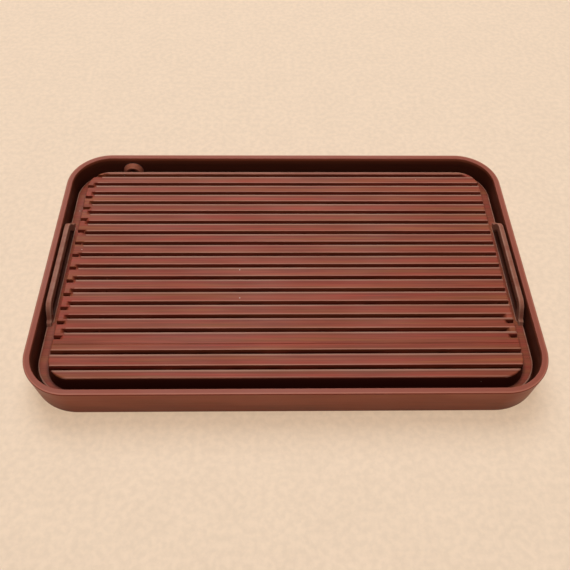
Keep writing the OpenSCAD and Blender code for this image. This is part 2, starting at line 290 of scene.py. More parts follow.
def ring_faces(count, rings, start=0):
    """Quads between each ring and the next, closed round the ring."""
    along, around = np.meshgrid(np.arange(rings - 1), np.arange(count), indexing="ij")
    after = (around + 1) % count
    quads = np.stack([along * count + around, along * count + after,
                      (along + 1) * count + after, (along + 1) * count + around], axis=-1)
    return quads.reshape(-1, 4) + start


def skin(rings, capped=True):
    """Points and faces of a stack of rings, with one face over each end where capped."""
    total, count = rings.shape[:2]
    faces = ring_faces(count, total).tolist()
    if capped:
        faces.append(list(range(count - 1, -1, -1)))
        faces.append(list(range((total - 1) * count, total * count)))
    return rings.reshape(-1, 3), faces


def joined(parts):
    """One set of points and faces out of several."""
    points = []
    faces = []
    start = 0
    for part_points, part_faces in parts:
        points.append(part_points)
        faces.extend([[corner + start for corner in face] for face in part_faces])
        start += len(part_points)
    return np.concatenate(points), faces


def make_piece(name, points, faces, material, body, marks=None, weld=1e-6):
    """A mesh object at the origin with its normals outwards, one material and its CAD body.

    marks holds named numbers for each point, which the material can read.
    """
    mesh = bpy.data.meshes.new(name)
    mesh.from_pydata(points.tolist(), [], faces)
    for label, values in (marks or {}).items():
        mesh.attributes.new(label, "FLOAT", "POINT").data.foreach_set("value", values)
    work = bmesh.new()
    work.from_mesh(mesh)
    bmesh.ops.remove_doubles(work, verts=work.verts, dist=weld)
    bmesh.ops.recalc_face_normals(work, faces=work.faces)
    work.to_mesh(mesh)
    work.free()
    mesh.shade_smooth()
    mesh.materials.append(material)
    piece = bpy.data.objects.new(name, mesh)
    bpy.context.collection.objects.link(piece)
    even = piece.modifiers.new("Even shading", "WEIGHTED_NORMAL")
    even.keep_sharp = True
    even.weight = 80
    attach(piece, body)
    return piece


# Basin


def basin_profile(sizes):
    """Inset from the rim, height and extra corner radius from the middle of the base to the floor.

    The line runs under the base, round its edge, up the drafted wall, over the rim and down inside.
    """
    base = BASIN_LOW[2]
    rim = BASIN_HIGH[2]
    hollow = base + sizes.base_hollow
    floor = base + sizes.floor_thickness
    turn = quarter(6)
    small = sizes.base_hollow * 0.4
    bottom = sizes.base_round
    lip = sizes.rim_round
    width = sizes.rim_width
    foot = sizes.floor_fillet
    inset = np.concatenate([
        sizes.base_ring + small * (1 - np.sin(turn))[::1],
        sizes.base_ring - small * (1 - np.cos(turn)),
        sizes.draft + bottom - bottom * np.sin(turn),
        lip - lip * np.cos(turn),
        width - lip + lip * np.sin(turn),
        [width],
        width + foot - foot * np.cos(turn),
    ])
    height = np.concatenate([
        hollow - small * (1 - np.cos(turn)),
        base + small * (1 - np.sin(turn)),
        base + bottom - bottom * np.cos(turn),
        rim - lip + lip * np.sin(turn),
        rim - lip + lip * np.cos(turn),
        [rim - sizes.shade_line],
        floor + foot - foot * np.sin(turn),
    ])
    extra = np.concatenate([np.full(3 * len(turn), sizes.corner_extra), np.zeros(3 * len(turn) + 1)])
    return inset, height, extra


def basin_marks(sizes, total):
    """Distance in from the rim's outer edge and share of painted shade for each point of the basin.

    The distance is negative on the outer wall and large inside. The pad and posts count as outer wall. The painted
    shade is full on the inside below the shade line and 0.6 on the base of the outer wall.
    """
    inset, height, extra = basin_profile(sizes)
    count = len(quarter(20)) * 4
    outer = np.arange(len(inset)) < len(inset) - 1 - 3 * len(quarter(6))
    inner = height < BASIN_HIGH[2] - sizes.rim_round - 1e-6
    gap = np.where(outer, -INSIDE, np.where(inner, INSIDE, inset))
    # Painted shade: full on the inside below the shade line, 0.6 on the base of the outer wall.
    base = height < BASIN_LOW[2] + sizes.base_round + 1e-6
    painted_shade = np.where(outer, np.where(base, 0.6, 0.0), np.where(inner, 1.0, 0.0))
    rest = total - len(inset) * count
    return {"rim_gap": np.concatenate([np.repeat(gap, count), np.full(rest, -INSIDE)]),
            "painted_shade": np.concatenate([np.repeat(painted_shade, count), np.zeros(rest)])}


def basin_surface(sizes):
    """The wall and floor: the profile carried round the rounded rectangle of the rim."""
    inset, height, extra = basin_profile(sizes)
    half = (BASIN_HIGH - BASIN_LOW) / 2
    rings = rounded_rings(inset, height, extra, half[0], half[1], sizes.corner_radius)
    points, faces = skin(rings)
    return points + [BASIN_MID[0], BASIN_MID[1], 0], faces


def post_surface(sizes, x, y):
    """A post with a fillet at its foot and an eased top, turned about its own axis."""
    floor = BASIN_LOW[2] + sizes.floor_thickness
    top = PANEL_LOW[2]
    turn = quarter(4)
    foot = sizes.post_radius * 0.4
    ease = sizes.post_radius * 0.15
    radii = np.concatenate([sizes.post_radius + foot * (1 - np.sin(turn)),
                            sizes.post_radius - ease * (1 - np.cos(turn))])
    heights = np.concatenate([floor - 0.0002 + foot * (1 - np.cos(turn)), top - ease * (1 - np.sin(turn))])
    points, faces = skin(turned_rings(radii, heights, 24))
    return points + [x, y, 0], faces


def on_outlet(rings):
    """Rings made about Z, laid along Y on the axis of the outlet: (x, y, z) goes to (x, z, -y)."""
    placed = np.stack([rings[..., 0], rings[..., 2], -rings[..., 1]], axis=-1)
    return placed + [NUT_MID[0], 0, NUT_MID[2]]


def pad_surface(sizes):
    """The flat round pad outside the wall, with a small fillet at its root."""
    turn = quarter(4)
    ease = 0.0004
    face = BASIN_HIGH[1]
    radii = np.concatenate([[sizes.pad_radius + ease], sizes.pad_radius - ease * (1 - np.cos(turn))])
    depths = np.concatenate([[face - 0.002], face - ease * (1 - np.sin(turn))])
    return skin(on_outlet(turned_rings(radii, depths, 64)))


def post_places(sizes):
    """Middle of each post: a row along the front and rear, and one near each corner at both ends."""
    row = (np.arange(sizes.post_count) - (sizes.post_count - 1) / 2) * sizes.post_pitch
    far = PANEL_HIGH[1] - PANEL_MID[1] - 0.00325
    side = PANEL_HIGH[0] - 0.005
    places = [(x, PANEL_MID[1] + y) for x in row for y in (-far, far)]
    places += [(x, PANEL_MID[1] + y) for x in (-side, side) for y in (-sizes.side_post, sizes.side_post)]
    return places


# Slatted panel

# A distance from a slat's edge that is far enough to show no painted highlight line
FAR = 0.01

# The same for the walls of the grooves, which are so tall that the painted highlight would run down them
INSIDE = 0.05


def groove_middles(panel, groove):
    """Distances of the grooves, long grooves, notches and score line from the middle of the panel."""
    index = np.arange(groove.count)
    field = panel.deck_half_y - groove.first - groove.pitch * index - groove.pitch_step * index * (index - 1) / 2
    front = -panel.deck_half_y + groove.front + groove.front_pitch * np.arange(groove.front_count)
    room = 2 * panel.deck_half_y - groove.front - groove.first
    notches = math.floor(room / groove.notch_pitch + 1e-6) - groove.front_count + 1
    notch = front[-1] + groove.notch_pitch * np.arange(1, notches + 1)
    score = front[-1:] + groove.score_offset
    return field, front, notch, score


def right_cuts(panel, groove, middles):
    """The grooves that run out through the right end, and the notches that are left there."""
    field, front, notch, score = middles
    open_front = front[-1] + groove.notch_pitch * (groove.right_notches + 0.5) + groove.notch_width
    open_rear = panel.deck_half_y - panel.deck_radius / 2
    return field[(field > open_front) & (field < open_rear)], notch[:groove.right_notches]


def cut_lines(middles, half, ease, draft, steps=3):
    """Lines across each cut: over its rounded edges and at the corners of its bottom."""
    rounding = half + ease * (1 - np.sin(quarter(steps)))
    offset = np.concatenate([rounding, [half - draft]])
    return (middles[:, None] + np.concatenate([offset, -offset])).ravel()


def cut_drop(y, middles, half, ease, draft, depth):
    """How far the surface lies below the top across the nearest cut.

    With t the distance from the cut's middle: a quarter circle of radius ease outside half, then a
    straight wall that leans in by draft down to depth.
    """
    t = np.abs(y[:, None] - middles).min(axis=1)
    bend = np.clip((half + ease - t) / ease, 0, 1)
    rounding = ease * (1 - np.sqrt(1 - bend ** 2))
    wall = ease + (depth - ease) * np.clip((half - t) / draft, 0, 1)
    return np.where(t > half, rounding, wall)


def outline_x(y, half_x, half_y, radius):
    """Half the length of a rounded rectangle at the distance y from its middle."""
    beyond = np.clip(np.abs(y) - (half_y - radius), 0, radius)
    return half_x - radius + np.sqrt(radius ** 2 - beyond ** 2)


def panel_rows(panel, groove, middles):
    """The lines of the panel's grid across its depth, from front to rear."""
    field, front, notch, score = middles
    half = panel.deck_half_y
    bend = panel.deck_radius
    edge = half - panel.edge_round * (1 - np.sin(quarter(4)))
    corner = half - bend + bend * np.sin(quarter(14))
    spread = np.linspace(-half, half, 61)
    lines = np.concatenate([
        cut_lines(field, groove.width / 2, panel.slat_round, panel.wall_draft),
        cut_lines(front, groove.width / 2, panel.slat_round, panel.wall_draft),
        cut_lines(notch, groove.notch_width / 2, panel.slat_round, panel.wall_draft),
        cut_lines(score, groove.score_width / 2, groove.score_width / 3, groove.score_width / 4, 3),
        edge, -edge, corner, -corner, spread])
    lines = np.sort(lines[np.abs(lines) <= half + 1e-9])
    keep = np.concatenate([[True], np.diff(lines) > 4e-5])
    keep[-2] = False
    keep[-1] = True
    return lines[keep]


def panel_columns(panel, groove, rows):
    """Distance of each grid point from the end of its row, and its place along X.

    The outer columns keep a fixed distance from the end of the row, and the middle ones share
    out what is left, so the grid ends on the rounded outline.
    """
    near = panel.edge_round * (1 - np.sin(quarter(4)))[::-1]
    ramp = np.linspace(0.0012, groove.inset, 14)
    reach = np.concatenate([near, ramp])
    span = np.sort(np.concatenate([np.linspace(-1, 1, 27)[1:-1], [-0.858, -0.862, -0.866, -0.870]]))
    end = outline_x(rows, panel.deck_half_x, panel.deck_half_y, panel.deck_radius)[:, None]
    middle = span * (end - groove.inset)
    x = np.concatenate([-(end - reach), middle, (end - reach)[:, ::-1]], axis=1)
    return x, end - np.abs(x)


def panel_drops(panel, groove, rows, x, from_end, middles):
    """Depth of the slatted top below its flat level at each grid point.

    Each kind of cut has a profile across it and a depth that changes along it; the deepest counts.
    The outline has a quarter round: r (1 - sqrt(1 - q squared)) with q from 0 inside to 1 at the edge.
    """
    field, front, notch, score = middles
    open_field, right_notch = right_cuts(panel, groove, middles)
    right = x > 0
    half = groove.width / 2
    slat = panel.slat_thickness
    ease = panel.slat_round
    draft = panel.wall_draft
    ramp = smooth_step(groove.inset - groove.ramp, groove.inset, from_end)
    deep = smooth_step(groove.inset - 0.001, groove.inset, from_end)
    fade = 1 - smooth_step(groove.notch_flat, groove.notch_length, from_end)
    depth_field = slat * ramp
    depth_front = groove.notch_depth + (slat - groove.notch_depth) * deep
    depth_notch = groove.notch_depth * fade
    score_half = groove.score_width / 2
    drops = [
        np.minimum(cut_drop(rows, field, half, ease, draft, slat)[:, None], depth_field),
        np.minimum(cut_drop(rows, front, half, ease, draft, slat)[:, None], depth_front),
        np.minimum(cut_drop(rows, open_field, half, ease, draft, slat)[:, None], np.where(right, depth_front, 0)),
        np.minimum(cut_drop(rows, notch, groove.notch_width / 2, ease, draft, groove.notch_depth)[:, None],
                   np.where(right, 0, depth_notch)),
        np.minimum(cut_drop(rows, right_notch, groove.notch_width / 2, ease, draft, groove.notch_depth)[:, None],
                   np.where(right, depth_notch, 0)),
        np.minimum(cut_drop(rows, score, score_half, groove.score_width / 3, groove.score_width / 4,
                            groove.score_depth)[:, None], groove.score_depth),
    ]
    bend = panel.deck_radius
    out_x = np.abs(x) - (panel.deck_half_x - bend)
    out_y = np.broadcast_to(np.abs(rows)[:, None] - (panel.deck_half_y - bend), x.shape)
    outside = np.hypot(np.maximum(out_x, 0), np.maximum(out_y, 0)) + np.minimum(np.maximum(out_x, out_y), 0)
    q = np.clip((panel.edge_round - (bend - outside)) / panel.edge_round, 0, 1)
    drops.append(panel.edge_round * (1 - np.sqrt(1 - q ** 2)))
    return np.maximum.reduce(np.broadcast_arrays(*drops))


def slat_marks(panel, groove, rows, x, from_end, middles):
    """Distance of each grid point from the groove behind it and from the groove in front of it.

    Inside a groove both are large. Near the left end, where the grooves of the field have run out,
    they grow, but not at the long grooves and at the edges of the panel.
    """
    field, front, notch, score = middles
    half = groove.width / 2
    beyond = panel.deck_half_y + half
    cuts = np.sort(np.concatenate([field, front, [-beyond, beyond]]))
    after = cuts[np.clip(np.searchsorted(cuts, rows - half), 0, len(cuts) - 1)]
    before = cuts[np.clip(np.searchsorted(cuts, rows + half) - 1, 0, len(cuts) - 1)]
    gaps = after - half - rows, rows - half - before
    inside = np.minimum(*gaps) < -panel.wall_draft / 2
    run_out = FAR * np.where(x > 0, 0, 1 - smooth_step(groove.inset - groove.ramp, groove.inset, from_end))
    marks = []
    # These distances place the painted highlight lines and the band of painted shade on the slats.
    for gap, cut in zip(gaps, (after, before)):
        ends_early = (cut > front[-1] + half) & (cut < beyond - half)
        marks.append(np.where(inside, INSIDE, np.maximum(gap, 0))[:, None] + run_out * ends_early[:, None])
    return marks


def painted_shade_marks(drops):
    """How much painted shade each grid point gets: none on top, and all of it at the bottom of a groove, more the
    deeper it lies.
    """
    return smooth_step(0.0004, 0.0055, drops)


def lattice_faces(rows, columns, keep, start=0, flip=False):
    """Quads of a grid of points, only where keep is true."""
    row, column = np.meshgrid(np.arange(rows - 1), np.arange(columns - 1), indexing="ij")
    first = row * columns + column
    quads = np.stack([first, first + 1, first + columns + 1, first + columns], axis=-1)[keep] + start
    return quads[:, ::-1] if flip else quads


def border(rows, columns):
    """Grid indices round the border of a grid, anticlockwise from its first point."""
    front = np.arange(columns - 1)
    right = np.arange(1, rows) * columns - 1
    rear = np.arange(columns - 1, 0, -1) + (rows - 1) * columns
    left = np.arange(rows - 1, 0, -1) * columns
    return np.concatenate([front, right, rear, left])


def flange_outline(panel, handle, outlet, edge, normal):
    """The outer edge of the flange for each point on the border of the slatted top.

    The border point's straight part is kept, its corner centre moves in so that the corner gets
    its own radius, and the outline steps in under the handles and at the outlet.
    """
    half = (PANEL_HIGH - PANEL_LOW) / 2
    bend = panel.flange_radius
    core = np.array([panel.deck_half_x - panel.deck_radius, panel.deck_half_y - panel.deck_radius])
    kept = np.clip(edge, -core, core)
    shift = core - (half[:2] - bend)
    easing = smooth_step(core - 0.006, core, np.abs(kept))
    outline = kept - np.sign(kept) * shift * easing + normal * bend
    side = np.abs(normal[:, 0]) > 0.999
    cut_half = (handle.span - handle.leg / math.sin(handle.lean)) / 2
    under = 1 - smooth_step(cut_half - 0.0005, cut_half + 0.0005, np.abs(outline[:, 1] + handle.shift))
    outline[:, 0] -= np.where(side, np.sign(normal[:, 0]) * handle.thickness * under, 0)
    rear = normal[:, 1] > 0.999
    nut = (NUT_HIGH[0] - NUT_LOW[0]) / 2 + outlet.gap
    away = np.abs(outline[:, 0] - NUT_MID[0])
    notch = 1 - smooth_step(nut - 0.0005, nut + 0.0005, away)
    depth = half[1] - (NUT_LOW[1] - outlet.gap - PANEL_MID[1])
    outline[:, 1] -= np.where(rear, depth * notch, 0)
    return outline


def skirt_rings(panel, handle, outlet, border_top, drops, edge, normal, hollow):
    """Rings from the border of the slatted top down the skirt, over the flange and back to the hollow."""
    lean = normal * [panel.lean_side, panel.lean_end]
    flange = panel.skirt_height
    fillet = 0.0005
    top = PANEL_HIGH[2] + handle_drop() - panel.drop
    level = top - flange
    bottom = PANEL_LOW[2]
    outline = flange_outline(panel, handle, outlet, edge, normal)
    rings = []

    def ring(flat, height):
        rings.append(np.concatenate([flat, np.broadcast_to(height, (len(flat),))[:, None]], axis=1))

    for part in (0.3, 0.6, 0.9, 1.0):
        drop = drops + (flange - fillet - drops) * part
        ring(edge + lean * (drop / flange)[:, None], top - drop)
    foot = edge + lean
    for turn in quarter(3)[1:]:
        ring(foot + normal * fillet * (1 - math.cos(turn)), level + fillet * (1 - math.sin(turn)))
    start = foot + normal * fillet
    reach = outline - start
    distance = np.maximum(np.linalg.norm(reach, axis=1, keepdims=True), 1e-6)
    outward = reach / distance
    ease = np.minimum(panel.flange_round, distance * 0.8)
    ring(start + reach * 0.35, level)
    ring(outline - outward * ease * 1.4, level)
    for turn in quarter(4):
        ring(outline - outward * ease * (1 - math.sin(turn)), level - ease[:, 0] * (1 - math.cos(turn)))
    under = 0.0005
    for turn in quarter(2):
        ring(outline - outward * np.minimum(under, ease) * (1 - math.cos(turn)), bottom + under * (1 - math.sin(turn)))
    ring(hollow + (outline - hollow) * 0.1, bottom)
    ring(hollow, bottom + under)
    return rings


def handle_drop():
    """How far the top of the handles lies below the rim."""
    return BASIN_HIGH[2] - PANEL_HIGH[2]


def panel_surface(panel, groove, handle, outlet):
    """The slatted top, skirt, flange and hollow underside as one closed surface.

    The top is a grid z(x, y) that ends on the rounded outline. The underside is the same grid at
    the bottom of the slats, and both lose the cells where a groove is cut right through.
    """
    middles = groove_middles(panel, groove)
    rows = panel_rows(panel, groove, middles)
    x, from_end = panel_columns(panel, groove, rows)
    drops = panel_drops(panel, groove, rows, x, from_end, middles)
    total, columns = x.shape
    top_level = BASIN_HIGH[2] - panel.drop
    y = np.broadcast_to(rows[:, None], x.shape)
    loop = border(total, columns)
    flat = np.stack([x, y], axis=-1).reshape(-1, 2)
    edge = flat[loop]
    core = np.array([panel.deck_half_x - panel.deck_radius, panel.deck_half_y - panel.deck_radius])
    away = edge - np.clip(edge, -core, core)
    normal = away / np.linalg.norm(away, axis=1, keepdims=True)
    loop_drops = drops.reshape(-1)[loop]
    top = np.concatenate([flat, (top_level - drops).reshape(-1, 1)], axis=1)
    top[loop, :2] += normal * [panel.lean_side, panel.lean_end] * (loop_drops / panel.skirt_height)[:, None]
    last_slot = panel.deck_half_y - panel.skirt_thickness - 0.0003
    beyond = np.maximum(np.abs(rows) - last_slot, 0)
    low_rows = np.where(beyond > 0, np.sign(rows) * (last_slot + beyond * 0.0003 /
                                                     (panel.skirt_thickness + 0.0003)), rows)
    end = outline_x(rows, panel.deck_half_x, panel.deck_half_y, panel.deck_radius)[:, None]
    thin = panel.skirt_thickness
    low_end = outline_x(low_rows, panel.deck_half_x - thin, panel.deck_half_y - thin,
                        panel.deck_radius - thin)[:, None]
    inner = end - groove.inset
    near = np.clip((groove.inset - from_end) / groove.inset, 0, 1)
    low_x = np.where(near > 0, np.sign(x) * (inner + (low_end - inner) * near), x)
    low = np.stack([low_x, np.broadcast_to(low_rows[:, None], x.shape),
                    np.full(x.shape, top_level - panel.slat_thickness)], axis=-1).reshape(-1, 3)
    through = drops >= panel.slat_thickness - 1e-7
    open_cell = through[:-1, :-1] & through[1:, :-1] & through[:-1, 1:] & through[1:, 1:]
    rings = skirt_rings(panel, handle, outlet, top[loop], loop_drops, edge, normal, low[loop, :2])
    stack = np.stack([top[loop]] + rings + [low[loop]])
    points = np.concatenate([top, low, stack.reshape(-1, 3)])
    marks = {}
    rear_gap, front_gap = slat_marks(panel, groove, rows, x, from_end, middles)
    # Painted shade: more the deeper a point lies in a groove, more on the border of the top and down the skirt, less at
    # the start of the flange and none on the rest.
    painted_shade = painted_shade_marks(drops)
    painted_shade.reshape(-1)[loop] = 1.2
    skirt_shade = np.concatenate([[1.5, 1.5, 1.5, 1.5], [1.5, 1.5, 1], np.full(3, 0.4), np.zeros(len(rings) - 9)])
    # Painted highlight along the flange's rounded edge, with a band of painted shade just inside it.
    flange_highlight_gap = np.full(len(rings) + 1, FAR)
    flange_highlight_gap[8] = 0.0024
    flange_highlight_gap[9:14] = 0.0004
    for label, grid, others in (("rear_gap", rear_gap, flange_highlight_gap), ("front_gap", front_gap, np.full_like(flange_highlight_gap, FAR)),
                                ("painted_shade", painted_shade, skirt_shade)):
        grid = grid.ravel()
        marks[label] = np.concatenate([grid, np.full(len(low), FAR), grid[loop], np.repeat(others, len(loop))])
    faces = np.concatenate([
        lattice_faces(total, columns, ~open_cell),
        lattice_faces(total, columns, ~open_cell, len(top), flip=True),
        ring_faces(len(loop), len(stack), len(top) + len(low))[:, ::-1]])
    return points + [PANEL_MID[0], PANEL_MID[1], 0], faces.tolist(), marks


def bar_surface(x, half_x, low_y, high_y, low_z, high_z, ease):
    """A straight bar along Y whose section is a box with rounded lower edges."""
    turn = quarter(3)
    across = np.concatenate([[half_x], half_x - ease * (1 - np.cos(turn)), -half_x + ease * (1 - np.sin(turn)),
                             [-half_x]])
    height = np.concatenate([[high_z], low_z + ease * (1 - np.sin(turn)), low_z + ease * (1 - np.cos(turn)),
                             [high_z]])
    ends = [np.stack([x + across, np.full_like(across, y), height], axis=-1) for y in (low_y, high_y)]
    return skin(np.stack(ends))


def handle_path(handle):
    """Middle line of half a handle from its foot to the middle, and its outward normal.

    The leg rises along a slope, and an arc about (c, radius below the top) turns it into the level strap,
    with c such that the arc touches both. Distances are from the middle of the handle and from its foot.
    """
    height = PANEL_HIGH[2] - PANEL_LOW[2]
    slope_y = math.cos(handle.lean)
    slope_z = math.sin(handle.lean)
    centre_y = handle.span / 2 - (handle.radius + (height - handle.radius) * slope_y) / slope_z
    centre_z = height - handle.radius
    bend = handle.radius - handle.leg / 2
    turn = np.linspace(math.pi / 2 - handle.lean, math.pi / 2, 13)
    start_z = centre_z + bend * slope_y
    rise = np.linspace(-handle.leg / 2 * slope_y, start_z, 22)[:-1]
    y = np.concatenate([centre_y + bend * slope_z + (start_z - rise) * slope_y / slope_z,
                        centre_y + bend * np.cos(turn)])
    z = np.concatenate([rise, centre_z + bend * np.sin(turn)])
    angle = np.concatenate([np.full(len(rise), turn[0]), turn])
    return y, z, np.cos(angle), np.sin(angle)


def handle_surface(handle, side):
    """A handle: a rounded section carried up one leg, over the strap and down the other leg.

    The section is 2 w wide along the path's own normal and has a fixed thickness along X. Outside the
    leg, w grows along a quarter circle near the flange. The marks put painted highlight lines along its four rounded
    edges.
    """
    y, z, normal_y, normal_z = handle_path(handle)
    bottom = PANEL_LOW[2]
    level = handle.flange
    width = np.full(len(y), handle.leg / 2)
    low = np.clip((level + 2 * handle.flare - z) / (2 * handle.flare), 0, 1)
    outer = width + handle.flare * (1 - np.sqrt(1 - low ** 2))
    y = np.concatenate([y, -y[::-1]])
    z = np.concatenate([z, z[::-1]]) + bottom
    normal_y = np.concatenate([normal_y, -normal_y[::-1]])
    normal_z = np.concatenate([normal_z, normal_z[::-1]])
    width, outer = (np.concatenate([part, part[::-1]])[:, None] for part in (width, outer))
    ease = handle.edge
    thick = handle.thickness / 2
    angle = np.concatenate([corner * math.pi / 2 + quarter(5) for corner in (0, 1, 2, 3)])
    outside = np.repeat([True, False, False, True], 6)
    sign_x = np.repeat([1, 1, -1, -1], 6)
    out = np.where(outside, outer - ease, ease - width) + ease * np.cos(angle)
    across = np.broadcast_to(sign_x * (thick - ease) + ease * np.sin(angle), out.shape)
    middle_x = side * (PANEL_HIGH[0] - thick)
    rings = np.stack([middle_x + across, PANEL_MID[1] - handle.shift + y[:, None] + out * normal_y[:, None],
                      z[:, None] + out * normal_z[:, None]], axis=-1)
    rings[..., 2] = np.maximum(rings[..., 2], bottom)
    points, faces = skin(rings)
    # Painted highlight lines along the four rounded edges of the handle.
    highlight_gap = np.tile([0.0016, 0.0010, 0.0006, 0.0006, 0.0010, 0.0016], 4)
    marks = {"rear_gap": np.tile(highlight_gap, len(rings)), "front_gap": np.full(len(points), FAR)}
    return points, faces, marks


# Outlet and feet


def nut_surface(outlet):
    """The ring nut: a rounded taper towards the tray, a rounded mouth and a straight bore."""
    root = NUT_HIGH[1]
    tip = NUT_LOW[1]
    wide = (NUT_HIGH[0] - NUT_LOW[0]) / 2
    narrow = wide - 0.0022
    bore = outlet.barrel + 0.0001
    turn = quarter(6)
    ease = 0.0011
    mouth = (narrow - bore) / 2
    radii = np.concatenate([
        [bore], wide - 0.0003 * (1 - np.sin(turn)), [wide], narrow - mouth * (1 - np.cos(turn)) + 0.0,
        bore + mouth * (1 - np.sin(turn))])
    depths = np.concatenate([
        [root], root - 0.0003 * (1 - np.cos(turn)), [root - 0.0016], tip + ease * (1 - np.sin(turn)),
        tip + ease * (1 - np.cos(turn))])
    rings = turned_rings(np.append(radii, bore), np.append(depths, root), 64)
    return skin(on_outlet(rings), capped=False)


def tube_surface(radii, depths):
    """A turned piece with a bore, on the axis of the outlet: its outline closes on itself."""
    return skin(on_outlet(turned_rings(np.append(radii, radii[0]), np.append(depths, depths[0]), 64)), capped=False)


def spigot_surface(outlet):
    """Barrel, outer collar and hose tail as one turned outline round the bore."""
    start = SPIGOT_LOW[1]
    end = SPIGOT_HIGH[1]
    wide = (SPIGOT_HIGH[0] - SPIGOT_LOW[0]) / 2
    collar = BASIN_HIGH[1] + outlet.seal
    turn = quarter(4)
    ease = 0.0004
    wall = 0.0004
    radii = np.concatenate([
        [outlet.bore, outlet.barrel - wall, outlet.barrel, outlet.barrel],
        [wide - ease], wide - ease * (1 - np.cos(turn))[::-1], wide - ease * (1 - np.cos(turn)),
        outlet.tail + ease * (1 - np.sin(turn)),
        outlet.tail - 0.0005 * (1 - np.cos(turn)), [outlet.bore + ease, outlet.bore]])
    depths = np.concatenate([
        [start, start, start + wall, collar],
        [collar], collar + ease * (1 - np.sin(turn))[::-1], collar + outlet.collar - ease * (1 - np.sin(turn)),
        collar + outlet.collar + ease * (1 - np.cos(turn)),
        end - 0.0005 * (1 - np.sin(turn)), [end, end - ease]])
    return tube_surface(radii, depths)


def seal_surface(name, bore):
    """A flat rubber ring with a bulging rim."""
    low, high, middle = node_box(name)
    wide = (high[0] - low[0]) / 2
    half = (high[1] - low[1]) / 2
    swing = np.linspace(-math.pi / 2, math.pi / 2, 9)
    radii = np.concatenate([[bore], wide - half * 0.6 + half * 0.6 * np.cos(swing), [bore]])
    depths = np.concatenate([[low[1]], middle[1] + half * np.sin(swing), [high[1]]])
    return tube_surface(radii, depths)


def foot_surface(name):
    """A round rubber foot with a rounded rim and a shallow dish in its sole."""
    low, high, middle = node_box(name)
    wide = (high[0] - low[0]) / 2
    turn = quarter(5)
    ease = 0.0005
    dish = np.linspace(1, 0.05, 8)
    radii = np.concatenate([[wide, wide], wide - ease * (1 - np.cos(turn)), (wide - 0.002) * dish])
    heights = np.concatenate([[high[2], low[2] + 0.001], low[2] + ease * (1 - np.sin(turn)),
                              low[2] + 0.00035 * (1 - dish ** 2)])
    points, faces = skin(turned_rings(radii, heights, 48))
    return points + [middle[0], middle[1], 0], faces


# Finishes


def new_node(tree, kind, place, **inputs):
    """A node of that kind at that place, with the given sockets set by name or index."""
    node = tree.nodes.new(kind)
    node.location = place
    for key, value in inputs.items():
        node.inputs[key.replace("_", " ")].default_value = value
    return node


def new_group(name, inputs, outputs):
    """An empty shader node group with typed inputs (name, type, default) and outputs (name, type)."""
    group = bpy.data.node_groups.new(name, "ShaderNodeTree")
    for label, kind, value in inputs:
        socket = group.interface.new_socket(label, in_out="INPUT", socket_type="NodeSocket" + kind)
        socket.default_value = value
    for label, kind in outputs:
        group.interface.new_socket(label, in_out="OUTPUT", socket_type="NodeSocket" + kind)
    group.nodes.new("NodeGroupInput").location = (-900, 0)
    group.nodes.new("NodeGroupOutput").location = (900, 0)
    return group


def ends(group):
    """The outputs of a group's input node and the inputs of its output node."""
    source = next(node for node in group.nodes if node.bl_idname == "NodeGroupInput").outputs
    sink = next(node for node in group.nodes if node.bl_idname == "NodeGroupOutput").inputs
    return source, sink


def stretched_noise(group, coordinates, stretch, scale, detail, place):
    """Noise drawn out along one axis: Object coordinates times stretch."""
    mapping = new_node(group, "ShaderNodeMapping", place)
    mapping.inputs["Scale"].default_value = stretch
    noise = new_node(group, "ShaderNodeTexNoise", (place[0] + 200, place[1]), Scale=scale, Detail=detail)
    group.links.new(coordinates, mapping.inputs["Vector"])
    group.links.new(mapping.outputs["Vector"], noise.inputs["Vector"])
    return noise.outputs["Fac"]


def ranged(group, value, low, high, out_low, out_high, place):
    """value from low to high mapped smoothly to out_low to out_high."""
    node = new_node(group, "ShaderNodeMapRange", place)
    node.interpolation_type = "SMOOTHSTEP"
    for key, number in (("From Min", low), ("From Max", high), ("To Min", out_low), ("To Max", out_high)):
        node.inputs[key].default_value = number
    group.links.new(value, node.inputs["Value"])
    return node.outputs["Result"]


def mixed(group, factor, first, second, place, kind="MIX"):
    """Colour mix of two sockets or values by a factor socket or value."""
    node = new_node(group, "ShaderNodeMix", place)
    node.data_type = "RGBA"
    node.blend_type = kind
    for socket, value in ((node.inputs[0], factor), (node.inputs[6], first), (node.inputs[7], second)):
        if isinstance(value, bpy.types.NodeSocket):
            group.links.new(value, socket)
        else:
            socket.default_value = value
    return node.outputs[2]


